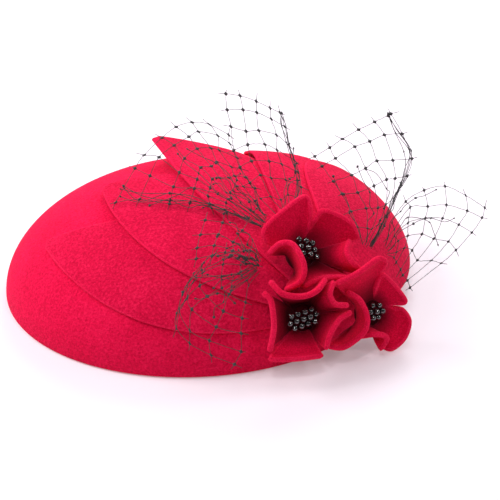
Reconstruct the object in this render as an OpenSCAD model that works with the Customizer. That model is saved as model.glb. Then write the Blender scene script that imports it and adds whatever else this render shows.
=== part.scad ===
// Fascinator headpiece: an oval felt crown with overlapping felt leaves,
// three folded felt flowers with beaded centres and tufts of diamond veiling.
// Millimetres. +Z is up, the rim rests on z = 0, the flowers are towards +X and -Y.
// The origin is the centre of the rim opening.

/* [Crown] */
// Half the length of the crown along X
crown_a = 105; // [98:1:112]
// Half the width of the crown along Y
crown_b = 88; // [82:1:94]
// Height of the crown over the rim plane
crown_h = 57; // [54:1:60]
// Thickness of the crown felt
crown_t = 2.7; // [2.4:0.1:3]

/* [Rim] */
// Height of the inner ribbon
ribbon_h = 12; // [8:1:14]
// Thickness of the inner ribbon
ribbon_t = 0.6; // [0.5:0.1:0.8]
// Thickness of the rim wire
rim_wire_d = 1.2; // [1:0.1:1.4]

/* [Felt trim] */
// Thickness of each felt leaf
leaf_t = 1.8; // [1.4:0.1:2]
// Space left between one leaf and the next
leaf_gap = 0.3; // [0.3:0.05:0.5]
// How far the tip of the third leaf curls up
tip_lift = 8; // [4:1:12]
// How far the tip of the fourth leaf sinks back towards the crown
tip_drop = 5; // [0:0.5:5]
// Thickness of each petal
petal_t = 2.4; // [2:0.1:2.5]

/* [Beads] */
// Diameter of one bead
bead_d = 3.3; // [2.8:0.1:3.6]
// Diameter of the wire a bead stands on
stem_d = 0.5; // [0.4:0.1:0.6]

/* [Veiling] */
// Width of a veiling thread
thread_w = 0.7; // [0.5:0.05:0.9]
// Thickness of a veiling thread
thread_t = 0.5; // [0.4:0.05:0.6]

/* [Comb] */
// Number of teeth on the comb
teeth = 16; // [12:1:17]
// Spacing of the comb teeth
tooth_pitch = 3.1; // [2.9:0.05:3.2]
// Length of one comb tooth
tooth_l = 26; // [20:1:27]

/* [Hair clips] */
// Distance of each clip from the middle of the crown
clip_x = 65; // [64:0.5:65]
// Length of a clip base plate
clip_l = 44; // [40:1:44]
// Diameter of a clip pin
pin_d = 2; // [1.8:0.1:2.2]
// Running clearance between a clip pin and the jaw around it
pin_gap = 0.05; // [0.03:0.01:0.08]

/* [Hidden] */

felt_red = [0.86, 0.08, 0.25];
petal_red = [0.66, 0.03, 0.16];
black = [0.03, 0.03, 0.04];
veil_grey = [0.10, 0.10, 0.11];
steel = [0.70, 0.71, 0.73];

around = 56;      // steps around the crown
up_steps = 11;    // steps from the top of the crown to its rim
leaf_u = 18;      // steps along a leaf
leaf_v = 6;       // steps across a leaf
petal_u = 12;     // steps along the free edge of a petal
petal_v = 5;      // steps from a petal's foot to its edge
cut = 1;          // how far a cutting shape runs past the face it cuts

// ---- the crown surface -------------------------------------------------
// A place on the crown is given by two angles: how far it lies from the top
// towards +X and towards +Y, so the rim is 90 degrees away in any direction.
function unit(v) = v / norm(v);
function on_dome(p, q, h, a = crown_a, b = crown_b, c = crown_h) =
  let (t = max(norm([p, q]), 0.001),
       s = [a * sin(t) * p / t, b * sin(t) * q / t, c * cos(t)],
       n = unit([s[0] / (a * a), s[1] / (b * b), s[2] / (c * c)]))
  s + h * n;

// ---- curves ------------------------------------------------------------
function bezier3(c, u) =
  pow(1 - u, 3) * c[0] + 3 * pow(1 - u, 2) * u * c[1]
  + 3 * (1 - u) * u * u * c[2] + pow(u, 3) * c[3];
function bezier2(c, u) =
  pow(1 - u, 2) * c[0] + 2 * (1 - u) * u * c[1] + u * u * c[2];
function at_end(c, i) = c[max(0, min(len(c) - 1, i))];
// A smooth curve through every point of c, u from 0 to 1
function through(c, u) =
  let (n = len(c) - 1,
       x = min(u, 0.99999) * n,
       i = floor(x),
       f = x - i,
       p0 = at_end(c, i - 1), p1 = at_end(c, i),
       p2 = at_end(c, i + 1), p3 = at_end(c, i + 2))
  0.5 * (2 * p1 + (p2 - p0) * f + (2 * p0 - 5 * p1 + 4 * p2 - p3) * f * f
  + (3 * p1 - p0 - 3 * p2 + p3) * f * f * f);

// ---- sheets ------------------------------------------------------------
function grid_normal(g, i, j) =
  let (m = len(g) - 1, n = len(g[0]) - 1,
       du = g[min(i + 1, m)][j] - g[max(i - 1, 0)][j],
       dv = g[i][min(j + 1, n)] - g[i][max(j - 1, 0)])
  unit(cross(du, dv));
// A closed sheet of thickness t with the grid of points g in its middle
module sheet(g, t) {
  m = len(g) - 1;
  n = len(g[0]) - 1;
  w = n + 1;
  lay = (m + 1) * w;
  top = [for (i = [0:m], j = [0:n]) g[i][j] + grid_normal(g, i, j) * t / 2];
  low = [for (i = [0:m], j = [0:n]) g[i][j] - grid_normal(g, i, j) * t / 2];
  function at(i, j) = i * w + j;
  quads = concat(
    [for (i = [0:m - 1], j = [0:n - 1])
      [at(i, j), at(i, j + 1), at(i + 1, j + 1), at(i + 1, j)]],
    [for (i = [0:m - 1], j = [0:n - 1])
      [lay + at(i, j), lay + at(i + 1, j), lay + at(i + 1, j + 1), lay + at(i, j + 1)]],
    [for (i = [0:m - 1])
      [at(i, 0), at(i + 1, 0), lay + at(i + 1, 0), lay + at(i, 0)]],
    [for (i = [0:m - 1])
      [at(i + 1, n), at(i, n), lay + at(i, n), lay + at(i + 1, n)]],
    [for (j = [0:n - 1])
      [at(0, j + 1), at(0, j), lay + at(0, j), lay + at(0, j + 1)]],
    [for (j = [0:n - 1])
      [at(m, j), at(m, j + 1), lay + at(m, j + 1), lay + at(m, j)]]);
  tris = [for (f = quads, k = [1, 2]) [f[0], f[k], f[k + 1]]];
  polyhedron(points = concat(top, low), faces = tris, convexity = 8);
}

// ---- crown, rim and lining --------------------------------------------
function ring(a, b, z) = [for (k = [0:around - 1])
  [a * cos(360 * k / around), b * sin(360 * k / around), z]];
// A closed ring swept around the crown; rows are [half length, half width, z]
module swept_ring(rows) {
  m = len(rows);
  pts = [for (r = rows) each ring(r[0], r[1], r[2])];
  quads = [for (i = [0:m - 1], k = [0:around - 1])
    let (i2 = (i + 1) % m, k2 = (k + 1) % around)
    [i * around + k, i * around + k2, i2 * around + k2, i2 * around + k]];
  polyhedron(points = pts,
    faces = [for (f = quads, k = [1, 2]) [f[0], f[k], f[k + 1]]], convexity = 4);
}
module crown_shell() {
  m = up_steps;
  ia = crown_a - crown_t;
  ib = crown_b - crown_t;
  ih = crown_h - crown_t;
  out = [for (i = [1:m])
    let (t = 90 * i / m) each ring(crown_a * sin(t), crown_b * sin(t), crown_h * cos(t))];
  inn = [for (i = [1:m])
    let (t = 90 * i / m) each ring(ia * sin(t), ib * sin(t), ih * cos(t))];
  lay = m * around;
  last = (m - 1) * around;
  tip = 2 * lay;
  quads = concat(
    [for (i = [0:m - 2], k = [0:around - 1]) let (k2 = (k + 1) % around)
      [i * around + k, i * around + k2, (i + 1) * around + k2, (i + 1) * around + k]],
    [for (i = [0:m - 2], k = [0:around - 1]) let (k2 = (k + 1) % around)
      [lay + i * around + k2, lay + i * around + k,
       lay + (i + 1) * around + k, lay + (i + 1) * around + k2]],
    [for (k = [0:around - 1]) let (k2 = (k + 1) % around)
      [last + k, last + k2, lay + last + k2, lay + last + k]]);
  caps = concat(
    [for (k = [0:around - 1]) [tip, (k + 1) % around, k]],
    [for (k = [0:around - 1]) [tip + 1, lay + k, lay + (k + 1) % around]]);
  color(felt_red)
  polyhedron(points = concat(out, inn, [[0, 0, crown_h], [0, 0, ih]]),
    faces = concat([for (f = quads, k = [1, 2]) [f[0], f[k], f[k + 1]]], caps),
    convexity = 4);
}
rim_wire_z = 2;
module rim_wire() {
  r = rim_wire_d / 2;
  in = crown_t + 0.4 + r;
  color(steel)
  swept_ring([for (k = [0:5])
    [crown_a - in + r * cos(60 * k), crown_b - in + r * cos(60 * k),
     rim_wire_z - r * sin(60 * k)]]);
}
module sweatband_ribbon() {
  in = crown_t + 0.4 + rim_wire_d + 0.4;
  lo = 0.6;
  hi = lo + ribbon_h;
  lean = crown_a * (1 - cos(asin(hi / crown_h)));
  color([0.45, 0.02, 0.09])
  swept_ring([
    [crown_a - in, crown_b - in, lo],
    [crown_a - in - ribbon_t, crown_b - in - ribbon_t, lo],
    [crown_a - in - ribbon_t - lean, crown_b - in - ribbon_t - lean, hi],
    [crown_a - in - lean, crown_b - in - lean, hi]]);
}
// An oval felt patch inside the crown, under the flowers
module stitch_patch() {
  t = 1.2;
  ia = crown_a - crown_t;
  ib = crown_b - crown_t;
  ih = crown_h - crown_t;
  g = [for (i = [0:8]) [for (j = [0:8])
    let (x = i / 4 - 1, y = j / 4 - 1,
         p = 30 + 20 * x * sqrt(1 - y * y / 2), q = -45 + 14 * y * sqrt(1 - x * x / 2))
    on_dome(p, q, -0.4 - t / 2, ia, ib, ih)]];
  color([0.60, 0.04, 0.15])
  sheet(g, t);
}

// ---- leaves ------------------------------------------------------------
// Each leaf is two edges from its hidden foot to its tip, on the crown angles
leaf_far = [
  [[22, -36], [0, -14], [-25, -12], [-50, -5]],
  [[24, -34], [12, 0], [-8, 12], [-26, 11]],
  [[30, -36], [24, 10], [12, 36], [-7.5, 30.5]],
  [[34, -34], [42, 0], [42, 36], [27, 55]],
  [[34, -34], [30, -11], [29, 7], [37, 16]]];
leaf_near = [
  [[28, -63], [-8, -75], [-40, -62], [-51, -8]],
  [[20, -58], [-10, -50], [-26, -28], [-27.5, 9]],
  [[24, -50], [2, -28], [-5, 0], [-9.5, 28.5]],
  [[24, -44], [17, -16], [16, 26], [24, 54]],
  [[46, -54], [100, -40], [74, 40], [42, 17]]];
function leaf_level(k) = leaf_gap + leaf_t / 2 + (k - 1) * (leaf_t + leaf_gap);
function ease(x) = let (c = max(0, min(1, x))) c * c * (3 - 2 * c);
function leaf_rise(k, u) =
  k == 3 ? tip_lift * pow(max(0, (u - 0.55) / 0.45), 2)
  : k == 4 ? -tip_drop * ease((u - 0.57) / 0.25)
  : 0;
module leaf(k) {
  g = [for (i = [0:leaf_u]) [for (j = [0:leaf_v])
    let (u = i / leaf_u, v = j / leaf_v,
         e = bezier3(leaf_far[k - 1], u) * (1 - v) + bezier3(leaf_near[k - 1], u) * v)
    on_dome(e[0], e[1], leaf_level(k) + leaf_rise(k, u))]];
  color(felt_red)
  sheet(g, leaf_t);
}
module leaf_1() { leaf(1); }
module leaf_2() { leaf(2); }
module leaf_3() { leaf(3); }
module leaf_4() { leaf(4); }
module leaf_5() { leaf(5); }

// ---- flowers -----------------------------------------------------------
// Each flower has its own axes: centre of its pad, turn about Z, tip away from +Z
flower_at = [[42, -61, 50], [37, -85, 29], [75, -73, 18.5]];
flower_turn = [15, 8, 25];
flower_tip = [42, 62, 68];
pad_r = 8.4;
pad_t = 2.4;
foot_z = 0.6;
// The free edge of each petal, in the flower's own axes
edge_1 = [
  [[-17, 10, 4], [-17, 16, 7], [-2, 23, 11], [7, 25, 12], [7, 17, 10], [5, 11, 6]],
  [[8, 13, 9], [13, 16, 12], [20, 12, 12], [26, 6, 11], [28, 0, 8]],
  [[22, -2, 10], [18, -7, 12], [19, -13, 12], [24, -18, 9]],
  [[-7, -17, 6], [4, -16, 8], [18, -20, 9]],
  [[-18, 4, 5], [-14, 6, 10], [-9, 4, 13], [-7, -3, 14], [-7, -10, 13], [-10, -15, 10], [-16, -16, 5]]];
edge_2 = [
  [[-19, 16, 8], [-17, 13, 9], [-17, 6, 10], [-18, -2, 10], [-21, -11, 9]],
  [[-15, 21, 8], [-11, 15, 11], [-2, 12, 11], [6, 13, 11], [12, 17, 8]],
  [[16, 15, 8], [13, 10, 10], [15, 5, 10], [21, 3, 9]],
  [[22, -1, 9], [16, -3, 10], [10, -9, 11], [7, -15, 11]],
  [[-21, -16, 8], [-9, -18, 9], [4, -19, 9]]];
edge_3 = [
  [[-21, 24, 8], [-9, 26, 11], [3, 29, 12], [8, 26, 11], [7, 22, 8]],
  [[3, 13, 5], [8, 18, 7], [17, 2, 8], [14, 1, 6]],
  [[13, -2, 4], [16, -4, 6], [17, -10, 8], [12, -17, 8], [4, -20, 7], [1, -18, 4]],
  [[-11, -8, 5], [-7, -8, 9], [-2, -10, 10], [0, -13, 10], [-3, -17, 8]],
  [[-15, 17, 8], [-12, 13, 11], [-11, 7, 13], [-12, 1, 14], [-16, -4, 13], [-25, -8, 9], [-31, -6, 6]]];
edges = [edge_1, edge_2, edge_3];
// The part of the pad's rim that each petal is sewn to, as two angles
seat_1 = [[158, 72], [66, 4], [-2, -44], [-118, -50], [163, 236]];
seat_2 = [[135, 212], [129, 56], [50, 6], [0, -68], [-142, -74]];
seat_3 = [[133, 76], [70, 10], [4, -92], [-160, -100], [139, 196]];
seats = [seat_1, seat_2, seat_3];
// How much each petal runs outwards before it turns up to its edge
cups = [[0.05, 0.35, 0.75, 0.75, 0.85], [0.85, 0.8, 0.75, 0.75, 0.35], [0.4, 0.2, 0.3, 0.5, 0.8]];
seat_r = 7.6;
module on_flower(f) {
  translate(flower_at[f - 1])
  rotate([0, 0, flower_turn[f - 1]])
  rotate([flower_tip[f - 1], 0, 0])
  children();
}
// A petal runs from its seat outwards over the pad and then up to its edge
module petal(f, k) {
  e = edges[f - 1][k - 1];
  st = seats[f - 1][k - 1];
  cup = cups[f - 1][k - 1];
  g = [for (i = [0:petal_u]) [for (j = [0:petal_v])
    let (u = i / petal_u,
         r = through(e, u),
         a = st[0] + (st[1] - st[0]) * u,
         low = [seat_r * cos(a), seat_r * sin(a), foot_z + petal_t / 2],
         mid = [(1 - cup) * (low[0] + r[0]) / 2 + cup * r[0],
                (1 - cup) * (low[1] + r[1]) / 2 + cup * r[1],
                (1 - cup) * (low[2] + r[2]) / 2 + cup * low[2]])
    bezier2([low, mid, r], j / petal_v)]];
  color(petal_red)
  on_flower(f)
  sheet(g, petal_t);
}
module flower_pad(f) {
  color(petal_red)
  on_flower(f)
  translate([0, 0, -pad_t])
  cylinder(r = pad_r, h = pad_t, $fn = 48);
}
// Beads stand on fine stems in a staggered bunch that fills an oval
bead_pitch = 3.6;
bead_rows = 3;
bunch_at = [[1.2, 1], [-1.4, 0.2], [-0.8, 1.8]];
bunch_size = [[4.6, 7.2], [8.2, 4], [6.2, 3.8]];
bunch_turn = [30, 8, -14];
bead_rise = 7.6;
function bead_spots(f) = [for (i = [-bead_rows:bead_rows], j = [-bead_rows:bead_rows])
  let (x = (i + (j % 2 == 0 ? 0 : 0.5)) * bead_pitch,
       y = j * bead_pitch * sqrt(3) / 2,
       o = bunch_size[f - 1],
       a = bunch_turn[f - 1],
       r = norm([x / o[0], y / o[1]]))
  if (r < 1.05)
    [bunch_at[f - 1][0] + x * cos(a) - y * sin(a),
     bunch_at[f - 1][1] + x * sin(a) + y * cos(a),
     bead_rise - 1.2 * r * r + 0.5 * sin(137 * i + 71 * j)]];
module flower_beads(f) {
  color(black)
  on_flower(f)
  for (s = bead_spots(f))
    translate(s)
    sphere(d = bead_d, $fn = 24);
}
// A stem leans from the middle of the pad out to its bead
stem_lean = 0.6;
module flower_stems(f) {
  color(black)
  on_flower(f)
  for (s = bead_spots(f)) {
    foot = [s[0] * stem_lean, s[1] * stem_lean, 0.1];
    way = s - foot;
    reach = norm(way);
    translate(foot)
    rotate([0, acos(way[2] / reach), atan2(way[1], way[0])])
    cylinder(d = stem_d, h = reach - bead_d / 2 - 0.05, $fn = 16);
  }
}
module flower_1_pad() { flower_pad(1); }
module flower_1_petal_1() { petal(1, 1); }
module flower_1_petal_2() { petal(1, 2); }
module flower_1_petal_3() { petal(1, 3); }
module flower_1_petal_4() { petal(1, 4); }
module flower_1_petal_5() { petal(1, 5); }
module flower_1_beads() { flower_beads(1); }
module flower_1_stems() { flower_stems(1); }
module flower_2_pad() { flower_pad(2); }
module flower_2_petal_1() { petal(2, 1); }
module flower_2_petal_2() { petal(2, 2); }
module flower_2_petal_3() { petal(2, 3); }
module flower_2_petal_4() { petal(2, 4); }
module flower_2_petal_5() { petal(2, 5); }
module flower_2_beads() { flower_beads(2); }
module flower_2_stems() { flower_stems(2); }
module flower_3_pad() { flower_pad(3); }
module flower_3_petal_1() { petal(3, 1); }
module flower_3_petal_2() { petal(3, 2); }
module flower_3_petal_3() { petal(3, 3); }
module flower_3_petal_4() { petal(3, 4); }
module flower_3_petal_5() { petal(3, 5); }
module flower_3_beads() { flower_beads(3); }
module flower_3_stems() { flower_stems(3); }

// ---- veiling -----------------------------------------------------------
// A tuft is three ribs of four points each, from the gathered foot to the free edge
function tuft(ribs, u, w) =
  through([for (k = [0:3])
    let (a = ribs[0][k], b = ribs[1][k], c = ribs[2][k])
    a * w * (w - 1) / 2 + b * (1 - w * w) + c * w * (w + 1) / 2], u);
// A net of square-knotted threads with m cells along and n cells across
module net(ribs, m, n) {
  function mid(i, j) = tuft(ribs, i / m, 2 * j / n - 1);
  pts = [for (i = [0:m], j = [0:n])
    let (p = mid(i, j),
         du = mid(min(i + 1, m), j) - mid(max(i - 1, 0), j),
         dv = mid(i, min(j + 1, n)) - mid(i, max(j - 1, 0)),
         room = min(norm(dv) / (j == 0 || j == n ? 1 : 2), norm(du)),
         w = min(thread_w, 0.4 * room) / 2,
         a = unit(du), c = unit(cross(du, dv)), b = cross(c, a))
    each [for (s = [1, -1]) each [
      p - a * w - b * w + c * s * thread_t / 2,
      p + a * w - b * w + c * s * thread_t / 2,
      p + a * w + b * w + c * s * thread_t / 2,
      p - a * w + b * w + c * s * thread_t / 2]]];
  function at(i, j, k) = (i * (n + 1) + j) * 8 + k;
  quads = concat(
    [for (i = [0:m], j = [0:n]) [at(i, j, 3), at(i, j, 2), at(i, j, 1), at(i, j, 0)]],
    [for (i = [0:m], j = [0:n]) [at(i, j, 4), at(i, j, 5), at(i, j, 6), at(i, j, 7)]],
    [for (i = [0:m - 1], j = [0:n]) each [
      [at(i, j, 1), at(i, j, 2), at(i + 1, j, 3), at(i + 1, j, 0)],
      [at(i, j, 6), at(i, j, 5), at(i + 1, j, 4), at(i + 1, j, 7)],
      [at(i, j, 5), at(i, j, 1), at(i + 1, j, 0), at(i + 1, j, 4)],
      [at(i, j, 2), at(i, j, 6), at(i + 1, j, 7), at(i + 1, j, 3)]]],
    [for (i = [0:m], j = [0:n - 1]) each [
      [at(i, j, 2), at(i, j, 3), at(i, j + 1, 0), at(i, j + 1, 1)],
      [at(i, j, 7), at(i, j, 6), at(i, j + 1, 5), at(i, j + 1, 4)],
      [at(i, j, 6), at(i, j, 2), at(i, j + 1, 1), at(i, j + 1, 5)],
      [at(i, j, 3), at(i, j, 7), at(i, j + 1, 4), at(i, j + 1, 0)]]],
    [for (j = [0:n]) [at(0, j, 0), at(0, j, 4), at(0, j, 7), at(0, j, 3)]],
    [for (j = [0:n]) [at(m, j, 2), at(m, j, 6), at(m, j, 5), at(m, j, 1)]],
    [for (i = [0:m]) [at(i, 0, 1), at(i, 0, 5), at(i, 0, 4), at(i, 0, 0)]],
    [for (i = [0:m]) [at(i, n, 3), at(i, n, 7), at(i, n, 6), at(i, n, 2)]]);
  color(veil_grey)
  polyhedron(points = pts,
    faces = [for (f = quads, k = [1, 2]) [f[0], f[k + 1], f[k]]], convexity = 12);
}
module veil_front() {
  net([[[19, -63, 51], [3, -70, 63], [-10, -76, 61], [-20, -81, 44]],
       [[18, -66, 49], [-2, -80, 51], [-19, -86, 45], [-24, -89, 29]],
       [[18, -69, 47], [9, -86, 42], [7, -94, 28], [2, -97, 13]]], 6, 5);
  net([[[19, -66, 52], [16, -56, 60], [8, -48, 64], [-4, -44, 65]],
       [[19, -67, 51], [12, -62, 56], [2, -58, 60], [-9, -54, 60]],
       [[19, -68, 50], [9, -66, 54], [-1, -63, 56], [-12, -62, 54]]], 4, 3);
}
module veil_left() {
  net([[[24, -46, 59], [6, -33, 63], [-15, -22, 62], [-45, -8, 58]],
       [[26, -45, 61], [9, -30, 73], [-3, -10, 81], [-13, 6, 90]],
       [[27, -44, 63], [23, -26, 71], [19, -12, 77], [16, 2, 86]]], 7, 6);
}
module veil_top() {
  net([[[32, -42, 63], [20, -24, 74], [15, -10, 92], [14, -2, 113]],
       [[36, -42, 64], [33, -22, 77], [31, -10, 90], [29, -2, 107]],
       [[41, -42, 63], [49, -24, 68], [47, -10, 80], [43, -2, 98]]], 7, 4);
}
module veil_back() {
  net([[[77, -46, 42], [73, -34, 55], [68, -17, 63], [61, -1, 70]],
       [[79, -46, 41], [89, -34, 57], [88, -16, 71], [81, -1, 82]],
       [[82, -46, 40], [98, -32, 61], [110, -14, 72], [101, -1, 92]]], 6, 5);
}
module veil_right() {
  net([[[90, -42, 37], [101, -36, 60], [124, -28, 61], [150, -22, 41]],
       [[91, -45, 35], [103, -40, 45], [121, -34, 38], [139, -28, 26]],
       [[91, -49, 34], [95, -49, 29], [98, -49, 22], [103, -48, 13]]], 6, 6);
}

// ---- comb --------------------------------------------------------------
comb_at = [-12, -56, 31.5];
comb_lean = 30;
module comb() {
  w = (teeth - 1) * tooth_pitch;
  r = 2;
  tooth_r = 0.75;
  color(black)
  translate(comb_at)
  rotate([-comb_lean, 0, 0])
  union() {
    translate([-w / 2, 0, 0])
    rotate([0, 90, 0])
    cylinder(r = r, h = w, $fn = 32);
    for (s = [-1, 1])
      translate([s * w / 2, 0, 0])
      sphere(r = r, $fn = 32);
    for (k = [0:teeth - 1])
      translate([k * tooth_pitch - w / 2, 0, -tooth_l])
      cylinder(r = tooth_r, h = tooth_l, $fn = 20);
  }
}

// ---- hair clips --------------------------------------------------------
clip_z = 39.3;
clip_tilt = 24.3;
plate_t = 0.8;
plate_w = 8.4;
pin_y = -9;
pin_z = 4;
ear_r = 2.6;
cheek_r = 2.4;
ear_x = 3.4;
cheek_x = 2.2;
arm_w = 6;
arm_z = 3.3;       // height of the jaw arm over its pin
arm_back = 3;      // where the arm and the lever meet, behind the pin
arm_drop = 11.2;    // slope of the closed arm
lever_rise = 32;
lever_l = 12;
coil_r = 1.9;
coil_wire = 0.35;
module on_clip(side) {
  translate([side * clip_x, 0, clip_z])
  rotate([0, 180 + side * clip_tilt, 0])
  children();
}
module across(x0, x1, r) {
  translate([x0, 0, 0])
  rotate([0, 90, 0])
  cylinder(r = r, h = x1 - x0, $fn = 40);
}
module clip_pad(side) {
  t = 1.3;
  color([0.60, 0.04, 0.15])
  on_clip(side)
  translate([-3.5, -9, -t - 0.05])
  cube([7, 18, t]);
}
module clip_base(side) {
  color(steel)
  on_clip(side)
  difference() {
    union() {
      translate([-plate_w / 2, -clip_l / 2, 0])
      cube([plate_w, clip_l, plate_t]);
      for (s = [-1, 1])
        translate([s > 0 ? ear_x : -plate_w / 2, pin_y, 0])
        union() {
          translate([0, -ear_r, 0])
          cube([plate_w / 2 - ear_x, 2 * ear_r, pin_z]);
          translate([0, 0, pin_z])
          across(0, plate_w / 2 - ear_x, ear_r);
        }
    }
    translate([0, pin_y, pin_z])
    across(-plate_w / 2 - cut, plate_w / 2 + cut, pin_d / 2 + 0.03);
    for (y = [-17, 5, 12, 18])
      translate([0, y, -cut])
      cylinder(r = 0.9, h = plate_t + 2 * cut, $fn = 24);
  }
}
module clip_pin(side) {
  head = 0.5;
  color(steel)
  on_clip(side)
  translate([0, pin_y, pin_z])
  union() {
    across(-plate_w / 2 - 0.1 - head, plate_w / 2 + 0.1 + head, pin_d / 2);
    for (x = [-plate_w / 2 - 0.1 - head, plate_w / 2 + 0.1])
      across(x, x + head, 1.6);
  }
}
module clip_spring(side) {
  turns = 5;
  color(steel)
  on_clip(side)
  translate([0, pin_y, pin_z])
  for (k = [0:turns - 1])
    translate([(k - (turns - 1) / 2) * (2 * coil_wire + 0.05), 0, 0])
    rotate([0, 90, 0])
    rotate_extrude($fn = 40)
    translate([coil_r, 0])
    circle(r = coil_wire, $fn = 16);
}
module clip_jaw(side) {
  arm_l = clip_l / 2 - pin_y + arm_back - 2;
  color(steel)
  on_clip(side)
  translate([0, pin_y, pin_z])
  difference() {
    union() {
      for (s = [-1, 1])
        translate([s > 0 ? cheek_x : -arm_w / 2, 0, 0])
        union() {
          across(0, arm_w / 2 - cheek_x, cheek_r);
          translate([0, -cheek_r, 0])
          cube([arm_w / 2 - cheek_x, 2 * cheek_r, arm_z + 0.2]);
        }
      translate([-arm_w / 2, -arm_back, arm_z])
      rotate([-arm_drop, 0, 0])
      cube([arm_w, arm_l, plate_t]);
      translate([-arm_w / 2, -arm_back + 0.3, arm_z])
      rotate([180 - lever_rise, 0, 0])
      translate([0, 0, -plate_t])
      cube([arm_w, lever_l, plate_t]);
    }
    across(-arm_w, arm_w, pin_d / 2 + pin_gap);
  }
}
module clip_left_pad() { clip_pad(-1); }
module clip_left_base() { clip_base(-1); }
module clip_left_jaw() { clip_jaw(-1); }
module clip_left_pin() { clip_pin(-1); }
module clip_left_spring() { clip_spring(-1); }
module clip_right_pad() { clip_pad(1); }
module clip_right_base() { clip_base(1); }
module clip_right_jaw() { clip_jaw(1); }
module clip_right_pin() { clip_pin(1); }
module clip_right_spring() { clip_spring(1); }

crown_shell();
rim_wire();
sweatband_ribbon();
stitch_patch();
leaf_1();
leaf_2();
leaf_3();
leaf_4();
leaf_5();
flower_1_pad();
flower_1_petal_1();
flower_1_petal_2();
flower_1_petal_3();
flower_1_petal_4();
flower_1_petal_5();
flower_1_beads();
flower_1_stems();
flower_2_pad();
flower_2_petal_1();
flower_2_petal_2();
flower_2_petal_3();
flower_2_petal_4();
flower_2_petal_5();
flower_2_beads();
flower_2_stems();
flower_3_pad();
flower_3_petal_1();
flower_3_petal_2();
flower_3_petal_3();
flower_3_petal_4();
flower_3_petal_5();
flower_3_beads();
flower_3_stems();
veil_front();
veil_left();
veil_top();
veil_back();
veil_right();
comb();
clip_left_pad();
clip_left_base();
clip_left_jaw();
clip_left_pin();
clip_left_spring();
clip_right_pad();
clip_right_base();
clip_right_jaw();
clip_right_pin();
clip_right_spring();
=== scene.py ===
"""Fascinator headpiece: felt crown, felt leaves, folded felt flowers, beads and veiling."""
import math
import bmesh
import bpy
import numpy as np
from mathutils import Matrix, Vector

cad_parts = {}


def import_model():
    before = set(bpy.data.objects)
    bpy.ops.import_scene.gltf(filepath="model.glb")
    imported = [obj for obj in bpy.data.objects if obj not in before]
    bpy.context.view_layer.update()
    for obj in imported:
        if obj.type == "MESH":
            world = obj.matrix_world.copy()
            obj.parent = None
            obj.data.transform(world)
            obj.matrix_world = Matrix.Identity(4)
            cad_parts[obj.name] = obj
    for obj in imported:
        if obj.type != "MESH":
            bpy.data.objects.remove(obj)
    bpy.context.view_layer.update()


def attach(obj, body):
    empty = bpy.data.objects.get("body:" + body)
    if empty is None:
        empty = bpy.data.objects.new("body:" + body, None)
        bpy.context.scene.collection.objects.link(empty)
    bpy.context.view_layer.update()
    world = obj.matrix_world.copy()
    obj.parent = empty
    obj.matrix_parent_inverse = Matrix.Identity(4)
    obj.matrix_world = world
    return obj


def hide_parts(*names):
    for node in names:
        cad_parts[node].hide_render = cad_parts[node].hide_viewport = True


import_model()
MM = 0.001                       # the shapes below are in millimetres
HAT = "hat"
A, B, H = 105.0, 88.0, 57.0      # crown half length, half width, height
FELT = 2.7                       # crown felt thickness
LEAF_T, LEAF_GAP = 1.8, 0.3      # leaf felt thickness, space between one leaf and the next
TIP_LIFT, TIP_DROP = 8.0, 5.0    # how far the tips of leaf 3 and leaf 4 stand off and hang down
PETAL_T = 2.4                    # petal felt thickness

scene = bpy.context.scene
scene.view_settings.view_transform = "Standard"


# ---- camera and lights ----------------------------------------------------
def place_camera():
    az, el, dist = math.radians(-10.5), math.radians(33.5), 0.9
    back = np.array([math.sin(az) * math.cos(el), -math.cos(az) * math.cos(el), math.sin(el)])
    data = bpy.data.cameras.new("camera")
    data.lens, data.sensor_width = 119.5, 36.0
    data.clip_start, data.clip_end = 0.01, 20.0
    cam = bpy.data.objects.new("camera", data)
    bpy.context.collection.objects.link(cam)
    cam.location = Vector(np.array([0.02747, 0.00333, 0.01251]) + back * dist)
    cam.rotation_mode = "QUATERNION"
    cam.rotation_quaternion = Vector(-back).to_track_quat("-Z", "Y")
    scene.camera = cam


def area_light(name, loc, aim, size, energy, color=(1, 1, 1)):
    data = bpy.data.lights.new(name, "AREA")
    data.shape, data.size, data.energy, data.color = "DISK", size, energy, color
    ob = bpy.data.objects.new(name, data)
    ob.location = loc
    ob.rotation_mode = "QUATERNION"
    ob.rotation_quaternion = (Vector(aim) - Vector(loc)).to_track_quat("-Z", "Y")
    bpy.context.collection.objects.link(ob)
    return ob


# ---- meshes ---------------------------------------------------------------
def mesh_object(name, verts, faces, mat=None, smooth=True):
    me = bpy.data.meshes.new(name)
    me.from_pydata([tuple(v) for v in np.asarray(verts) * MM], [], faces)
    me.validate()
    me.polygons.foreach_set("use_smooth", [smooth] * len(me.polygons))
    me.update()
    ob = bpy.data.objects.new(name, me)
    bpy.context.collection.objects.link(ob)
    if mat:
        me.materials.append(mat)
    return ob


def unit(v):
    return v / np.maximum(np.linalg.norm(v, axis=-1, keepdims=True), 1e-12)


def dome(p, q, h, a=A, b=B, c=H):
    """The point at angles p and q from the top of the ellipsoid, h above its surface."""
    p, q, h = np.broadcast_arrays(np.asarray(p, float), np.asarray(q, float), np.asarray(h, float))
    t = np.maximum(np.hypot(p, q), 1e-3)
    s, k = np.sin(np.radians(t)), np.cos(np.radians(t))
    pt = np.stack([a * s * p / t, b * s * q / t, c * k], -1)
    n = unit(pt / np.array([a * a, b * b, c * c]))
    return pt + n * h[..., None]


def grid_normals(g):
    """The surface direction at each point of the grid."""
    du = np.gradient(g, axis=0)
    dv = np.gradient(g, axis=1)
    return unit(np.cross(du, dv))


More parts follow.
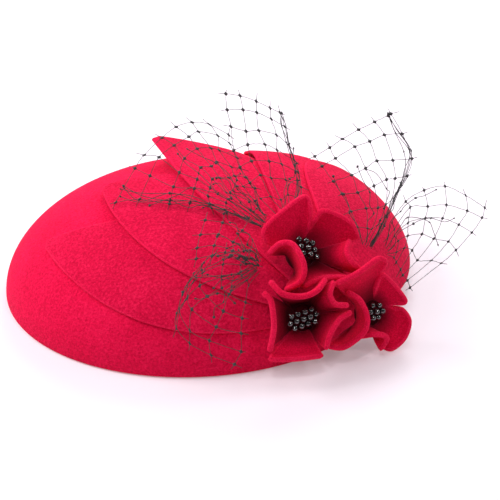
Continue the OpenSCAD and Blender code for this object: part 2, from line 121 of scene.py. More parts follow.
def felt_sheet(name, g, t, mat, edge=4, cut=None, swell=0.0, shade_lift=1.0):
    """A closed sheet around the grid of points g, with a rounded edge all round.
    The last row across can swell a little, and the cut edge can wear its own lighter material. Each point
    also carries a painted shade factor, low at the seat row and raised by the last argument."""
    m, n = g.shape[0] - 1, g.shape[1] - 1
    nor = grid_normals(g)
    fat = 1 + swell * np.clip((np.linspace(0, 1, n + 1) - 0.8) / 0.2, 0, 1)[None, :, None] ** 2
    nor = nor * fat
    idx = lambda i, j: i * (n + 1) + j
    lay = (m + 1) * (n + 1)
    verts = [*(g + nor * t / 2).reshape(-1, 3), *(g - nor * t / 2).reshape(-1, 3)]
    faces = []
    for i in range(m):
        for j in range(n):
            faces.append((idx(i, j), idx(i + 1, j), idx(i + 1, j + 1), idx(i, j + 1)))
            faces.append((lay + idx(i, j), lay + idx(i, j + 1), lay + idx(i + 1, j + 1), lay + idx(i + 1, j)))
    loop = [(i, 0) for i in range(m)] + [(m, j) for j in range(n)]
    loop += [(i, n) for i in range(m, 0, -1)] + [(0, j) for j in range(n, 0, -1)]
    ring = np.array([g[i, j] for i, j in loop])
    rn = np.array([nor[i, j] for i, j in loop])
    tan = unit(np.roll(ring, -1, 0) - np.roll(ring, 1, 0))
    out = unit(np.cross(tan, rn)) * np.linalg.norm(rn, axis=-1, keepdims=True)
    inner = np.array([g[min(max(i, 1), m - 1), min(max(j, 1), n - 1)] for i, j in loop])
    if np.sum(out * (ring - inner)) < 0:
        out = -out
    rows = [[idx(i, j) for i, j in loop]]
    for k in range(1, edge):
        f = math.pi * k / edge
        base = len(verts)
        verts += [*(ring + out * (t / 2 * math.sin(f)) + rn * (t / 2 * math.cos(f)))]
        rows.append(list(range(base, base + len(loop))))
    rows.append([lay + idx(i, j) for i, j in loop])
    c = len(loop)
    for a, b in zip(rows, rows[1:]):
        for k in range(c):
            faces.append((a[k], b[k], b[(k + 1) % c], a[(k + 1) % c]))
    ob = mesh_object(name, verts, faces, mat)
    # painted shade factor per point: 0 at the seat row rising to 1 at the free edge and round the cut edge,
    # raised by the last argument
    across = np.tile(np.linspace(0, 1, n + 1), m + 1)
    around = np.tile([j / n for i, j in loop], edge - 1)
    light = np.clip(np.concatenate([across, across, around]) + shade_lift, 0, 1)
    ob.data.attributes.new("painted_fold_shade", "FLOAT", "POINT").data.foreach_set("value", light)
    if cut:
        ob.data.materials.append(cut)
        for k in range(2 * m * n, len(faces)):
            ob.data.polygons[k].material_index = 1
    fix_normals(ob)
    return ob


def fix_normals(ob):
    bm = bmesh.new()
    bm.from_mesh(ob.data)
    bmesh.ops.recalc_face_normals(bm, faces=bm.faces)
    bm.to_mesh(ob.data)
    bm.free()


def half_area(ob):
    """The area of one side of a thin closed sheet."""
    return sum(p.area for p in ob.data.polygons) / 2


# Share of its rectangular blank that a cut felt piece fills, and that a plain strip fills (both assumed)
BLANK_FILL, STRIP_FILL = 0.7, 0.98


def declare(ob, node, body=HAT, length=None):
    """Rides and replaces its CAD node, and works out its flat size from the area of the finished piece, but
    neither stores nor returns that size.
    """
    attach(ob, body)
    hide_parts(node)
    area = half_area(ob)
    blank = area / (STRIP_FILL if length else BLANK_FILL)
    length = length or math.sqrt(blank * 1.5)
    return ob


def bez(c, u):
    """Points at u along the Bezier curve with 3 or 4 control points c."""
    c = [np.asarray(x, float) for x in c]
    u = np.asarray(u, float)[..., None]
    if len(c) == 3:
        return (1 - u) ** 2 * c[0] + 2 * (1 - u) * u * c[1] + u * u * c[2]
    return (1 - u) ** 3 * c[0] + 3 * (1 - u) ** 2 * u * c[1] + 3 * (1 - u) * u * u * c[2] + u ** 3 * c[3]


def through(c, u):
    """Points at u along the smooth curve through the points c."""
    c = np.asarray(c, float)
    n = len(c) - 1
    x = np.minimum(np.asarray(u, float), 0.99999) * n
    i = np.floor(x).astype(int)
    f = (x - i)[..., None]
    at = lambda k: c[np.clip(k, 0, n)]
    p0, p1, p2, p3 = at(i - 1), at(i), at(i + 1), at(i + 2)
    return 0.5 * (2 * p1 + (p2 - p0) * f + (2 * p0 - 5 * p1 + 4 * p2 - p3) * f * f
                  + (3 * p1 - p0 - 3 * p2 + p3) * f ** 3)


class Soup:
    """Collects verts and faces of many small shapes into one mesh."""

    def __init__(self):
        self.v, self.f = [], []

    def add(self, verts, faces):
        b = len(self.v)
        self.v += [tuple(x) for x in verts]
        self.f += [tuple(b + k for k in f) for f in faces]

    def tube(self, pts, r, sides=6, closed=False):
        pts = np.asarray(pts, float)
        r = np.broadcast_to(np.asarray(r, float), (len(pts),))
        tan = unit(np.roll(pts, -1, 0) - np.roll(pts, 1, 0)) if closed else unit(np.gradient(pts, axis=0))
        ref = np.array([0.0, 0.0, 1.0]) if abs(tan[0][2]) < 0.9 else np.array([1.0, 0.0, 0.0])
        x = unit(np.cross(tan[0], ref))
        verts = []
        for k, (p, t) in enumerate(zip(pts, tan)):
            x = unit(x - t * np.dot(x, t))
            y = np.cross(t, x)
            for s in range(sides):
                a = 2 * math.pi * s / sides
                verts.append(p + (x * math.cos(a) + y * math.sin(a)) * r[k])
        n = len(pts)
        faces = []
        for k in range(n if closed else n - 1):
            for s in range(sides):
                s2, k2 = (s + 1) % sides, (k + 1) % n
                faces.append((k * sides + s, k * sides + s2, k2 * sides + s2, k2 * sides + s))
        if not closed:
            faces.append(tuple(range(sides - 1, -1, -1)))
            faces.append(tuple((n - 1) * sides + s for s in range(sides)))
        self.add(verts, faces)

    def make(self, name, mat):
        return mesh_object(name, self.v, self.f, mat)


# ---- materials ------------------------------------------------------------
def new_mat(name, rough=0.5, metal=0.0, **sockets):
    m = bpy.data.materials.new(name)
    m.use_nodes = True
    nt = m.node_tree
    bsdf = nt.nodes["Principled BSDF"]
    bsdf.inputs["Roughness"].default_value = rough
    bsdf.inputs["Metallic"].default_value = metal
    for k, v in sockets.items():
        bsdf.inputs[k.replace("_", " ")].default_value = v
    return m, nt, bsdf


def noise(nt, scale, detail=3.0, rough=0.6, vec=None):
    n = nt.nodes.new("ShaderNodeTexNoise")
    n.inputs["Scale"].default_value = scale
    n.inputs["Detail"].default_value = detail
    n.inputs["Roughness"].default_value = rough
    if vec:
        nt.links.new(vec, n.inputs["Vector"])
    return n


def ramp(nt, fac, stops):
    r = nt.nodes.new("ShaderNodeValToRGB")
    el = r.color_ramp.elements
    while len(el) < len(stops):
        el.new(0.5)
    for e, (pos, col) in zip(el, stops):
        e.position, e.color = pos, (*col, 1.0)
    nt.links.new(fac, r.inputs["Fac"])
    return r


def felt_mat(name, dark, mid, light, grain=800.0, bump=0.8, nap=0.0006, paint_fold_shade=False):
    """Pressed wool felt: fine fibre grain, soft blotches and a faint nap, with painted shade down in the
    folds if asked.
    """
    m, nt, bsdf = new_mat(name, rough=0.95, Sheen_Weight=0.06, Sheen_Roughness=0.55,
                          Sheen_Tint=(1.0, 0.3, 0.5, 1.0), Specular_IOR_Level=0.08)
    co = nt.nodes.new("ShaderNodeTexCoord").outputs["Object"]
    fine = noise(nt, grain, 4.0, 0.7, co)
    broad = noise(nt, 55.0, 3.0, 0.55, co)
    mix = nt.nodes.new("ShaderNodeMix")
    mix.data_type = "FLOAT"
    mix.inputs["Factor"].default_value = 0.2
    nt.links.new(fine.outputs["Fac"], mix.inputs["A"])
    nt.links.new(broad.outputs["Fac"], mix.inputs["B"])
    col = ramp(nt, mix.outputs["Result"], [(0.34, dark), (0.5, mid), (0.66, light)])
    shade = col.outputs["Color"]
    if paint_fold_shade:                               # painted shade: darker down in the folds and towards the seat, from the per-point shade factor
        at = nt.nodes.new("ShaderNodeAttribute")
        at.attribute_name = "painted_fold_shade"
        fold_shade_ramp = ramp(nt, at.outputs["Fac"],
                    [(0.14, (0.05, 0.03, 0.05)), (0.5, (0.42, 0.36, 0.42)), (0.9, (1.0, 1.0, 1.0))])
        mul = nt.nodes.new("ShaderNodeMix")
        mul.data_type, mul.blend_type = "RGBA", "MULTIPLY"
        mul.inputs[0].default_value = 1.0
        nt.links.new(shade, mul.inputs[6])
        nt.links.new(fold_shade_ramp.outputs["Color"], mul.inputs[7])
        shade = mul.outputs[2]
    nt.links.new(shade, bsdf.inputs["Base Color"])
    fibre = noise(nt, grain * 1.7, 2.0, 0.5, co)
    add = nt.nodes.new("ShaderNodeMath")
    add.operation = "ADD"
    nt.links.new(fine.outputs["Fac"], add.inputs[0])
    nt.links.new(fibre.outputs["Fac"], add.inputs[1])
    b = nt.nodes.new("ShaderNodeBump")
    b.inputs["Strength"].default_value = bump
    b.inputs["Distance"].default_value = nap
    nt.links.new(add.outputs["Value"], b.inputs["Height"])
    nt.links.new(b.outputs["Normal"], bsdf.inputs["Normal"])
    return m


def plain_mat(name, col_a, col_b, scale, rough, metal=0.0, bump=0.1, dist=0.0001, **kw):
    m, nt, bsdf = new_mat(name, rough=rough, metal=metal, **kw)
    co = nt.nodes.new("ShaderNodeTexCoord").outputs["Object"]
    n = noise(nt, scale, 3.0, 0.6, co)
    col = ramp(nt, n.outputs["Fac"], [(0.3, col_a), (0.7, col_b)])
    nt.links.new(col.outputs["Color"], bsdf.inputs["Base Color"])
    b = nt.nodes.new("ShaderNodeBump")
    b.inputs["Strength"].default_value = bump
    b.inputs["Distance"].default_value = dist
    nt.links.new(n.outputs["Fac"], b.inputs["Height"])
    nt.links.new(b.outputs["Normal"], bsdf.inputs["Normal"])
    return m


MAT = {
    "crown": felt_mat("crown_felt_mat", (0.60, 0.001, 0.034), (0.80, 0.003, 0.055), (0.94, 0.010, 0.085)),
    "leaf": felt_mat("leaf_felt_mat", (0.52, 0.001, 0.031), (0.72, 0.003, 0.050), (0.90, 0.012, 0.084)),
    # petal felt and its cut edge darken down in their folds by painted shade
    "petal": felt_mat("petal_felt_mat", (0.50, 0.0005, 0.020), (0.68, 0.001, 0.036), (0.88, 0.004, 0.060),
                      grain=1300.0, bump=0.5, nap=0.0004, paint_fold_shade=True),
    # pad felt is the petal felt painted near-black: painted shade for the throat of each flower
    "pad": felt_mat("pad_felt_painted_shade_mat", (0.04, 0.0005, 0.003), (0.07, 0.001, 0.005), (0.10, 0.001, 0.008),
                    grain=1300.0),
    # cut edges in lighter felt: partly the fuzzier cut fibre, partly a painted highlight where the edge
    # catches light
    "leaf_cut": felt_mat("leaf_cut_edge_mat", (0.72, 0.002, 0.045), (0.90, 0.006, 0.070), (1.0, 0.03, 0.12),
                         grain=1500.0),
    "petal_cut": felt_mat("petal_cut_edge_fuzz_and_highlight_mat", (0.66, 0.001, 0.034), (0.86, 0.004, 0.058), (1.0, 0.02, 0.10),
                          grain=1500.0, paint_fold_shade=True),
    "lining": felt_mat("lining_felt_mat", (0.30, 0.003, 0.02), (0.40, 0.006, 0.03), (0.50, 0.015, 0.05)),
    "ribbon": plain_mat("ribbon_mat", (0.20, 0.002, 0.012), (0.28, 0.004, 0.02), 300.0, 0.6),
    "thread": plain_mat("thread_mat", (0.020, 0.020, 0.022), (0.070, 0.070, 0.074), 2500.0, 0.75, bump=0.5),
    "bead": plain_mat("bead_mat", (0.001, 0.001, 0.0015), (0.002, 0.002, 0.003), 600.0, 0.03, bump=0.005,
                      Specular_IOR_Level=1.0, IOR=1.6),
    "wire": plain_mat("stem_wire_mat", (0.01, 0.01, 0.012), (0.03, 0.03, 0.03), 900.0, 0.4, bump=0.1),
    "rimwire": plain_mat("rim_wire_mat", (0.55, 0.52, 0.50), (0.70, 0.68, 0.66), 1500.0, 0.8, bump=0.5),
    "comb": plain_mat("comb_mat", (0.008, 0.008, 0.009), (0.016, 0.016, 0.018), 120.0, 0.18, bump=0.03),
    "steel": plain_mat("clip_mat", (0.62, 0.63, 0.65), (0.74, 0.75, 0.77), 700.0, 0.22, metal=1.0, bump=0.06),
    "spring": plain_mat("spring_mat", (0.40, 0.40, 0.42), (0.55, 0.55, 0.57), 1800.0, 0.35, metal=1.0,
                        bump=0.1),
}


def dress(node, mat):
    ob = bpy.data.objects[node]
    ob.data.materials.clear()
    ob.data.materials.append(mat)


# ---- crown ----------------------------------------------------------------
def crown():
    """The felt dome: outer face, rounded cut edge and inner face."""
    sides, rings = 128, 34
    rows = []
    for shell, sign in ((0.0, 1), (FELT, -1)):
        ts = np.linspace(1.6, 89.2 if shell == 0 else 88.6, rings)
        if sign < 0:
            ts = ts[::-1]
        for t in ts:
            s, c = math.sin(math.radians(t)), math.cos(math.radians(t))
            rows.append(((A - shell) * s, (B - shell) * s, (H - shell) * c))
        if sign > 0:                        # the rounded cut edge
            for k in range(1, 6):
                f = math.pi * k / 6
                inset = FELT / 2 * (1 - math.cos(f))
                rows.append((A - inset, B - inset, 1.0 - math.sin(f) * 0.95))
    verts, faces = [], []
    for a, b, z in rows:
        for k in range(sides):
            f = 2 * math.pi * k / sides
            verts.append((a * math.cos(f), b * math.sin(f), z))
    for r in range(len(rows) - 1):
        for k in range(sides):
            k2 = (k + 1) % sides
            faces.append((r * sides + k, (r + 1) * sides + k, (r + 1) * sides + k2, r * sides + k2))
    top, low = len(verts), len(verts) + 1
    verts += [(0, 0, H), (0, 0, H - FELT)]
    last = (len(rows) - 1) * sides
    for k in range(sides):
        k2 = (k + 1) % sides
        faces.append((top, k, k2))
        faces.append((low, last + k2, last + k))
    ob = mesh_object("felt_crown", verts, faces, MAT["crown"])
    fix_normals(ob)
    declare(ob, "crown_shell")


# ---- leaves ---------------------------------------------------------------
LEAF_FAR = [
    [(22, -36), (0, -14), (-25, -12), (-50, -5)],
    [(24, -34), (12, 0), (-8, 12), (-26, 11)],
    [(30, -36), (24, 10), (12, 36), (-7.5, 30.5)],
    [(34, -34), (42, 0), (42, 36), (27, 55)],
    [(34, -34), (30, -11), (29, 7), (37, 16)]]
LEAF_NEAR = [
    [(28, -63), (-8, -75), (-40, -62), (-51, -8)],
    [(20, -58), (-10, -50), (-26, -28), (-27.5, 9)],
    [(24, -50), (2, -28), (-5, 0), (-9.5, 28.5)],
    [(24, -44), (17, -16), (16, 26), (24, 54)],
    [(46, -54), (100, -40), (74, 40), (42, 17)]]


def leaf(k):
    """Leaf k, between its far and near edges, at its own level over the crown."""
    u, v = np.linspace(0, 1, 64), np.linspace(0, 1, 22)
    far, near = bez(LEAF_FAR[k - 1], u), bez(LEAF_NEAR[k - 1], u)
    e = far[:, None] * (1 - v)[None, :, None] + near[:, None] * v[None, :, None]
    level = LEAF_GAP + LEAF_T / 2 + (k - 1) * (LEAF_T + LEAF_GAP)
    rise = 0 * u
    if k == 3:
        rise = TIP_LIFT * np.maximum(0, (u - 0.55) / 0.45) ** 2
    if k == 4:
        f = np.clip((u - 0.57) / 0.25, 0, 1)
        rise = -TIP_DROP * f * f * (3 - 2 * f)
    g = dome(e[..., 0], e[..., 1], level + rise[:, None] + 0 * v[None])
    ob = felt_sheet("felt_leaf_%d" % k, g, LEAF_T, MAT["leaf"], 6, MAT["leaf_cut"])
    declare(ob, "leaf_%d" % k)


# ---- flowers --------------------------------------------------------------
FLOWER_AT = [(42, -61, 50), (37, -85, 29), (75, -73, 18.5)]
FLOWER_TURN = [15, 8, 25]
FLOWER_TIP = [42, 62, 68]
EDGES = [
    [[(-17, 10, 4), (-17, 16, 7), (-2, 23, 11), (7, 25, 12), (7, 17, 10), (5, 11, 6)],
     [(8, 13, 9), (13, 16, 12), (20, 12, 12), (26, 6, 11), (28, 0, 8)],
     [(22, -2, 10), (18, -7, 12), (19, -13, 12), (24, -18, 9)],
     [(-7, -17, 6), (4, -16, 8), (18, -20, 9)],
     [(-18, 4, 5), (-14, 6, 10), (-9, 4, 13), (-7, -3, 14), (-7, -10, 13), (-10, -15, 10), (-16, -16, 5)]],
    [[(-19, 16, 8), (-17, 13, 9), (-17, 6, 10), (-18, -2, 10), (-21, -11, 9)],
     [(-15, 21, 8), (-11, 15, 11), (-2, 12, 11), (6, 13, 11), (12, 17, 8)],
     [(16, 15, 8), (13, 10, 10), (15, 5, 10), (21, 3, 9)],
     [(22, -1, 9), (16, -3, 10), (10, -9, 11), (7, -15, 11)],
     [(-21, -16, 8), (-9, -18, 9), (4, -19, 9)]],
    [[(-21, 24, 8), (-9, 26, 11), (3, 29, 12), (8, 26, 11), (7, 22, 8)],
     [(3, 13, 5), (8, 18, 7), (17, 2, 8), (14, 1, 6)],
     [(13, -2, 4), (16, -4, 6), (17, -10, 8), (12, -17, 8), (4, -20, 7), (1, -18, 4)],
     [(-11, -8, 5), (-7, -8, 9), (-2, -10, 10), (0, -13, 10), (-3, -17, 8)],
     [(-15, 17, 8), (-12, 13, 11), (-11, 7, 13), (-12, 1, 14), (-16, -4, 13), (-25, -8, 9), (-31, -6, 6)]]]
SEATS = [[(158, 72), (66, 4), (-2, -44), (-118, -50), (163, 236)],
         [(135, 212), (129, 56), (50, 6), (0, -68), (-142, -74)],
         [(133, 76), (70, 10), (4, -92), (-160, -100), (139, 196)]]
CUPS = [[0.05, 0.35, 0.75, 0.75, 0.85], [0.85, 0.8, 0.75, 0.75, 0.35], [0.4, 0.2, 0.3, 0.5, 0.8]]
SEAT_R, FOOT_Z = 7.6, 0.6


def flower_axes(f):
    a, t = math.radians(FLOWER_TURN[f - 1]), math.radians(FLOWER_TIP[f - 1])
    x = np.array([math.cos(a), math.sin(a), 0.0])
    n = np.array([math.sin(t) * math.sin(a), -math.sin(t) * math.cos(a), math.cos(t)])
    return np.array(FLOWER_AT[f - 1], float), np.stack([x, np.cross(n, x), n])


def place(f, pts):
    c, ax = flower_axes(f)
    return c + np.asarray(pts, float) @ ax


def petal(f, k):
    """Petal k of flower f, from its seat on the pad, bulging by its cup, to its free edge."""
    e, seat, cup = EDGES[f - 1][k - 1], SEATS[f - 1][k - 1], CUPS[f - 1][k - 1]
    u, v = np.linspace(0, 1, 44), np.linspace(0, 1, 18)
    r = through(e, u)
    a = np.radians(seat[0] + (seat[1] - seat[0]) * u)
    low = np.stack([SEAT_R * np.cos(a), SEAT_R * np.sin(a), np.full(len(u), FOOT_Z + PETAL_T / 2)], -1)
    mid = np.stack([(1 - cup) * (low[:, 0] + r[:, 0]) / 2 + cup * r[:, 0],
                    (1 - cup) * (low[:, 1] + r[:, 1]) / 2 + cup * r[:, 1],
                    (1 - cup) * (low[:, 2] + r[:, 2]) / 2 + cup * low[:, 2]], -1)
    w = v[None, :, None]
    g = (1 - w) ** 2 * low[:, None] + 2 * (1 - w) * w * mid[:, None] + w * w * r[:, None]
    # deeper cups get more painted shade near their seat
    ob = felt_sheet("felt_petal_%d_%d" % (f, k), place(f, g), PETAL_T, MAT["petal"], 8, MAT["petal_cut"],
                    0.25, 0.5 * (1 - cup))
    declare(ob, "flower_%d_petal_%d" % (f, k))


def lathe(soup, centre, axes, profile, n=24):
    """Turns the profile of (radius, height) rows round the third axis."""
    verts, faces = [], []
    for r, z in profile:
        for k in range(n):
            a = 2 * math.pi * k / n
            verts.append(centre + (axes[0] * math.cos(a) + axes[1] * math.sin(a)) * r + axes[2] * z)
    m = len(profile)
    for i in range(m):
        for k in range(n):
            i2, k2 = (i + 1) % m, (k + 1) % n
            faces.append((i * n + k, i * n + k2, i2 * n + k2, i2 * n + k))
    soup.add(verts, faces)


BEAD_R, BEAD_PITCH, BEAD_ROWS, BEAD_RISE = 1.65, 3.6, 3, 7.6
BUNCH_AT = [(1.2, 1), (-1.4, 0.2), (-0.8, 1.8)]
BUNCH_SIZE = [(4.6, 7.2), (8.2, 4), (6.2, 3.8)]
BUNCH_TURN = [30, 8, -14]


def bead_spots(f):
    """Bead places in staggered rows inside an oval, a little higher in the middle."""
    out = []
    a = math.radians(BUNCH_TURN[f - 1])
    for i in range(-BEAD_ROWS, BEAD_ROWS + 1):
        for j in range(-BEAD_ROWS, BEAD_ROWS + 1):
            x = (i + (0.5 if j % 2 else 0)) * BEAD_PITCH
            y = j * BEAD_PITCH * math.sqrt(3) / 2
            r = math.hypot(x / BUNCH_SIZE[f - 1][0], y / BUNCH_SIZE[f - 1][1])
            if r < 1.05:
                out.append((BUNCH_AT[f - 1][0] + x * math.cos(a) - y * math.sin(a),
                            BUNCH_AT[f - 1][1] + x * math.sin(a) + y * math.cos(a),
                            BEAD_RISE - 1.2 * r * r + 0.5 * math.sin(math.radians(137 * i + 71 * j))))
    return out


def beads(f):
    c, ax = flower_axes(f)
    soup = Soup()
    lo = math.asin(0.35 / BEAD_R)             # the thread hole
    prof = [(BEAD_R * math.sin(t), BEAD_R * 0.96 * math.cos(t)) for t in np.linspace(lo, math.pi - lo, 13)]
    for k, s in enumerate(bead_spots(f)):
        p = c + np.array(s) @ ax
        lean = unit(np.array([math.sin(2.1 * k + f), math.cos(1.7 * k), 1.3]))
        z = lean @ ax
        x = unit(np.cross(z, ax[1]))
        lathe(soup, p, [x, np.cross(z, x), z], prof, 20)
    ob = soup.make("glass_beads_%d" % f, MAT["bead"])
    fix_normals(ob)
    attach(ob, HAT)
    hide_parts("flower_%d_beads" % f)


def pad(f):
    c, ax = flower_axes(f)
    soup = Soup()
    r, t, e = 8.4, 2.4, 0.8
    prof = [(0.05, -t), (r - e, -t)] + [(r - e + e * math.sin(x), -t + e - e * math.cos(x))
                                        for x in np.linspace(0.3, math.pi / 2, 4)]
    prof += [(r - e + e * math.cos(x), -e + e * math.sin(x)) for x in np.linspace(0, math.pi / 2, 4)]
    prof += [(r * 0.5, -0.02), (0.05, 0.0)]
    lathe(soup, c, ax, prof, 40)
    ob = soup.make("felt_pad_%d" % f, MAT["pad"])
    fix_normals(ob)
    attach(ob, HAT)
    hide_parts("flower_%d_pad" % f)


# ---- veiling --------------------------------------------------------------
THREAD_R, KNOT_R = 0.15, 1.2
# each tuft: three ribs from foot to free edge, cells along and across, loose threads,
# and the side on which the netting is folded into a strand
TUFTS = {
    "veil_front": [([[(19, -63, 51), (3, -70, 63), (-10, -76, 61), (-20, -81, 44)],
                     [(18, -66, 49), (-2, -80, 51), (-19, -86, 45), (-24, -89, 29)],
                     [(18, -69, 47), (9, -86, 42), (7, -94, 28), (2, -97, 13)]], 6, 5, 7, 0),
                   ([[(19, -66, 52), (16, -56, 60), (8, -48, 64), (-4, -44, 65)],
                     [(19, -67, 51), (12, -62, 56), (2, -58, 60), (-9, -54, 60)],
                     [(19, -68, 50), (9, -66, 54), (-1, -63, 56), (-12, -62, 54)]], 4, 3, 9, 0)],
    "veil_left": [([[(24, -46, 59), (6, -33, 63), (-15, -22, 62), (-45, -8, 58)],
                    [(26, -45, 61), (9, -30, 73), (-3, -10, 81), (-13, 6, 90)],
                    [(27, -44, 63), (23, -26, 71), (19, -12, 77), (16, 2, 86)]], 7, 7, 9, -1)],
    "veil_top": [([[(32, -42, 63), (20, -24, 74), (15, -10, 92), (14, -2, 113)],
                   [(36, -42, 64), (33, -22, 77), (31, -10, 90), (29, -2, 107)],
                   [(41, -42, 63), (49, -24, 68), (47, -10, 80), (43, -2, 98)]], 7, 4, 2, 1)],
    "veil_back": [([[(77, -46, 42), (73, -34, 55), (68, -17, 63), (61, -1, 70)],
                    [(79, -46, 41), (89, -34, 57), (88, -16, 71), (81, -1, 82)],
                    [(82, -46, 40), (98, -32, 61), (110, -14, 72), (101, -1, 92)]], 6, 5, 5, 1)],
    "veil_right": [([[(90, -42, 37), (101, -36, 60), (124, -28, 61), (150, -22, 41)],
                     [(91, -45, 35), (103, -40, 45), (121, -34, 38), (139, -28, 26)],
                     [(91, -49, 34), (95, -49, 29), (98, -49, 22), (103, -48, 13)]], 6, 5, 3, 0)],
}


def tuft(ribs, u, w):
    """A point on the tuft: u from the gathered foot to the free edge, w across it."""
    r = np.asarray(ribs, float)
    u, w = np.broadcast_arrays(np.asarray(u, float), np.asarray(w, float))
    w = w[..., None]
    c = [r[0][k] * w * (w - 1) / 2 + r[1][k] * (1 - w * w) + r[2][k] * w * (w + 1) / 2 for k in range(4)]
    x = np.minimum(u, 0.99999) * 3
    i = np.floor(x).astype(int)
    f = (x - i)[..., None]
    at = lambda k: np.choose(np.clip(i + k, 0, 3)[..., None], c)
    p0, p1, p2, p3 = at(-1), at(0), at(1), at(2)
    return 0.5 * (2 * p1 + (p2 - p0) * f + (2 * p0 - 5 * p1 + 4 * p2 - p3) * f * f
                  + (3 * p1 - p0 - 3 * p2 + p3) * f ** 3)


def veil_part(soup, rng, ribs, m, n, loose, side):
    """Knotted netting: threads both ways, knots, cut ends, and the tangle at the gathered foot."""
    jitter = rng.uniform(-1, 1, (2, m + 1, n + 1))
    u = np.arange(m + 1)[:, None] / m + 0.02 * jitter[0]
    w = 2 * np.arange(n + 1)[None] / n - 1 + 0.07 * jitter[1]
    u[0] = 0
    crush = 1.8 * np.clip(1 - u, 0, 1)[..., None] ** 2
    knots = tuft(ribs, np.clip(u, 0, 1), np.clip(w, -1, 1)) + crush * rng.uniform(-1, 1, (m + 1, n + 1, 3))
    knots[..., 2] += 0.5 * crush[..., 0]

    def knot(p, a, b, s):
        c = unit(np.cross(a, b))
        pts = [p + a * s, p + b * s, p - a * s, p - b * s, p + c * s * 0.5, p - c * s * 0.5]
        upper = [(0, 1, 4), (1, 2, 4), (2, 3, 4), (3, 0, 4)]
        lower = [(1, 0, 5), (2, 1, 5), (3, 2, 5), (0, 3, 5)]
        soup.add(pts, upper + lower)

    def line(pts, start_end, stop_end):
        c = through(pts, np.linspace(0, 1, (len(pts) - 1) * 6 + 1))
        c[1:-1] += rng.uniform(-0.12, 0.12, c[1:-1].shape)
        for end, on in ((-1, stop_end), (0, start_end)):
            if on:
                d = unit(c[end] - c[1 if end == 0 else -2])
                tip = c[end] + d * 4.5 * rng.uniform(0.5, 1.1) + rng.uniform(-0.7, 0.7, 3)
                c = np.vstack([c, tip]) if end else np.vstack([tip, c])
        soup.tube(c, THREAD_R, 5)

    for j in range(n + 1):
        line(knots[:, j], False, True)
    for i in range(1, m + 1):
        line(knots[i], i > 1, i > 1)
    for i in range(1, m + 1):
        for j in range(n + 1):
            a = unit(knots[min(i + 1, m), j] - knots[max(i - 1, 0), j])
            b = unit(knots[i, min(j + 1, n)] - knots[i, max(j - 1, 0)])
            knot(knots[i, j], a, b, KNOT_R * min(1.0, 0.5 + i / 5))
    for k in range(loose + (4 if side else 0)):
        strand = k >= loose
        stop = 1.0 if strand else rng.uniform(0.35, 0.8)
        u = np.linspace(0, stop, 8)
        if strand:
            w = side * (1 - rng.uniform(0, 0.16, 8))
        else:
            w = rng.uniform(-1, 1) + rng.uniform(-1.3, 1.3) * (u / stop) ** 1.5
        c = tuft(ribs, u, np.clip(w, -1, 1))
        c += rng.uniform(-1, 1, (8, 3)) * (0.8 if strand else 1.8) * np.minimum(1, u / 0.2)[:, None]
        soup.tube(through(c, np.linspace(0, 1, 36)), THREAD_R * 1.2, 5)
        for p in (3, 5, 7):
            a = unit(c[p] - c[p - 1])
            knot(c[p], a, unit(np.cross(a, rng.uniform(-1, 1, 3))), KNOT_R * 0.8)


def veil(name, seed):
    soup = Soup()
    rng = np.random.default_rng(seed)
    for part in TUFTS[name]:
        veil_part(soup, rng, *part)
    ob = soup.make(name + "_net", MAT["thread"])
    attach(ob, HAT)
    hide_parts(name)


# ---- rim, lining, comb and clips -------------------------------------------
def oval_band(rows, n=160):
    verts = [(a * math.cos(2 * math.pi * k / n), b * math.sin(2 * math.pi * k / n), z)
             for a, b, z in rows for k in range(n)]
    m = len(rows)
    faces = [(i * n + k, i * n + (k + 1) % n, (i + 1) % m * n + (k + 1) % n, (i + 1) % m * n + k)
             for i in range(m) for k in range(n)]
    return verts, faces


def ribbon():
    inset = FELT + 0.4 + 1.2 + 0.4
    hi, lo, t = 12.6, 0.6, 0.6
    outer, inner = [], []
    for k in range(13):
        z = lo + (hi - lo) * k / 12
        lean = A * (1 - math.cos(math.asin(z / H)))
        outer.append((A - inset - lean, B - inset - lean, z))
        inner.append((A - inset - t - lean, B - inset - t - lean, z))
    verts, faces = oval_band(outer + inner[::-1])
    ob = mesh_object("inner_ribbon", verts, faces, MAT["ribbon"])
    fix_normals(ob)
    declare(ob, "sweatband_ribbon", length=0.565)


def rim_wire():
    r = 0.6
    inset = FELT + 0.4 + r
    soup = Soup()
    f = np.linspace(0, 2 * math.pi, 200, endpoint=False)
    ring = np.stack([(A - inset) * np.cos(f), (B - inset) * np.sin(f), np.full(200, 2.0)], -1)
    soup.tube(ring, r * 0.95, 8, True)
    ob = soup.make("covered_rim_wire", MAT["rimwire"])
    fix_normals(ob)
    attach(ob, HAT)
    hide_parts("rim_wire")


def patch():
    x, y = np.meshgrid(np.linspace(-1, 1, 40), np.linspace(-1, 1, 40), indexing="ij")
    p = 30 + 20 * x * np.sqrt(1 - y * y / 2)
    q = -45 + 14 * y * np.sqrt(1 - x * x / 2)
    g = dome(p, q, -1.0, A - FELT, B - FELT, H - FELT)
    ob = felt_sheet("lining_patch", g, 1.2, MAT["lining"])
    declare(ob, "stitch_patch")


def clip_axes(side):
    th = math.radians(180 + side * 24.3)
    x = np.array([math.cos(th), 0.0, -math.sin(th)])
    z = np.array([math.sin(th), 0.0, math.cos(th)])
    return np.array([side * 65.0, 0.0, 39.3]), np.stack([x, np.array([0.0, 1.0, 0.0]), z])


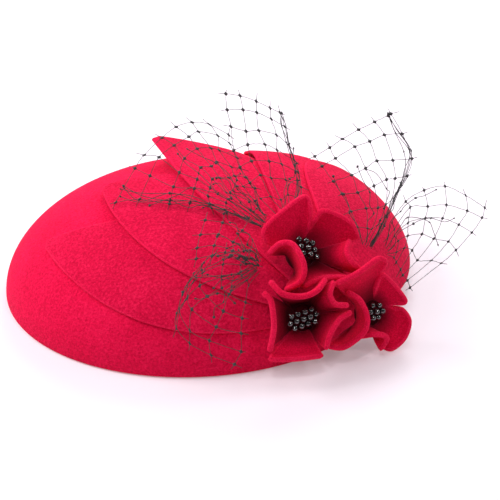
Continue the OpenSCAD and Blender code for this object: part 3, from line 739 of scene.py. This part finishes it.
def clip_soft_and_spring(side, word):
    c, ax = clip_axes(side)
    soup = Soup()
    w, l, t, n = 3.5, 9.0, 1.3, 32
    rows = []
    for z, k in ((-t - 0.05, 0.88), (-t * 0.8, 0.98), (-t * 0.3, 0.98), (-0.05, 0.90)):
        ring = []
        for i in range(n):
            a = 2 * math.pi * i / n
            sx, sy = math.cos(a), math.sin(a)
            q = max(abs(sx), abs(sy)) ** 0.55
            ring.append((w * k * sx / q, l * k * sy / q, z))
        rows.append(ring)
    verts = [c + np.array(p) @ ax for r in rows for p in r]
    faces = [(i * n + k, i * n + (k + 1) % n, (i + 1) * n + (k + 1) % n, (i + 1) * n + k)
             for i in range(3) for k in range(n)]
    faces += [tuple(range(n)), tuple(3 * n + k for k in range(n))]
    soup.add(verts, faces)
    ob = soup.make("clip_%s_felt" % word, MAT["lining"])
    fix_normals(ob)
    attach(ob, HAT)
    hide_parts("clip_%s_pad" % word)
    soup = Soup()
    turns, r = 4.5, 1.9
    f = np.linspace(0, 2 * math.pi * turns, 150)
    x = (f / f[-1] - 0.5) * 3.4
    pts = np.stack([x, -9 + r * np.cos(f - math.pi / 2), 4 + r * np.sin(f - math.pi / 2)], -1)
    leg = np.array([[-1.7, -1.0, 2.1], [-1.7, -5.0, 2.1]])
    soup.tube(c + np.vstack([leg, pts]) @ ax, 0.34, 8)
    ob = soup.make("clip_%s_coil" % word, MAT["spring"])
    fix_normals(ob)
    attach(ob, HAT)
    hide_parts("clip_%s_spring" % word)
    for part in ("base", "jaw", "pin"):
        dress("clip_%s_%s" % (word, part), MAT["steel"])


# ---- floor and world --------------------------------------------------------
FLOOR_HALF, FLOOR_Z = 8, -0.0002                    # metres
GLOW_NEAR, GLOW_FAR = (0.3, 0.2), (1.3, 0.95)       # distance from the hat in metres, strength


def floor_mat():
    """Pale paper that glows white away from the hat."""
    mat, nt, bsdf = new_mat("floor_mat", rough=0.7)
    co = nt.nodes.new("ShaderNodeTexCoord").outputs["Object"]
    tone = ramp(nt, noise(nt, 3.0, 2.0, 0.5, co).outputs["Fac"],
                [(0.3, (0.74, 0.67, 0.74)), (0.7, (0.76, 0.69, 0.76))])
    nt.links.new(tone.outputs["Color"], bsdf.inputs["Base Color"])
    bsdf.inputs["Emission Color"].default_value = (1.0, 0.96, 1.0, 1.0)
    far = nt.nodes.new("ShaderNodeVectorMath")
    far.operation = "LENGTH"
    nt.links.new(co, far.inputs[0])
    glow = nt.nodes.new("ShaderNodeMapRange")
    for k, x in enumerate((GLOW_NEAR[0], GLOW_FAR[0], GLOW_NEAR[1], GLOW_FAR[1])):
        glow.inputs[k + 1].default_value = x
    nt.links.new(far.outputs["Value"], glow.inputs["Value"])
    nt.links.new(glow.outputs["Result"], bsdf.inputs["Emission Strength"])
    return mat


def floor():
    h, z = FLOOR_HALF, FLOOR_Z
    mat = floor_mat()
    me = bpy.data.meshes.new("floor")
    me.from_pydata([(-h, -h, z), (h, -h, z), (h, h, z), (-h, h, z)], [], [(0, 1, 2, 3)])
    me.materials.append(mat)
    ob = bpy.data.objects.new("floor", me)
    bpy.context.collection.objects.link(ob)


def world():
    studio = bpy.data.worlds.new("studio")
    studio.use_nodes = True
    background = studio.node_tree.nodes["Background"]
    background.inputs["Color"].default_value = (1.0, 1.0, 1.0, 1.0)
    background.inputs["Strength"].default_value = 0.10
    scene.world = studio


# ---- build ----------------------------------------------------------------
place_camera()
crown()
for k in range(1, 6):
    leaf(k)
for f in (1, 2, 3):
    for k in range(1, 6):
        petal(f, k)
    beads(f)
    pad(f)
    dress("flower_%d_stems" % f, MAT["wire"])
for s, name in enumerate(TUFTS):
    veil(name, 11 + s)
ribbon()
rim_wire()
patch()
dress("comb", MAT["comb"])
clip_soft_and_spring(-1, "left")
clip_soft_and_spring(1, "right")

floor()
world()
area_light("key_left", (-0.85, 0.25, 0.75), (0.0, 0.0, 0.0), 0.7, 10.5)
area_light("key_back", (0.45, 0.9, 0.75), (0.0, 0.0, 0.0), 0.7, 8.8)
area_light("key_right", (1.0, 0.0, 0.7), (0.0, 0.0, 0.0), 0.5, 3.0)
area_light("top", (-0.1, 0.15, 1.3), (0.0, 0.0, 0.0), 0.9, 5.0)
area_light("sparkle", (-0.25, -0.75, 1.25), (0.04, -0.07, 0.03), 0.08, 3.0)
area_light("glint", (0.5, -0.8, 1.1), (0.04, -0.07, 0.03), 0.06, 1.5)
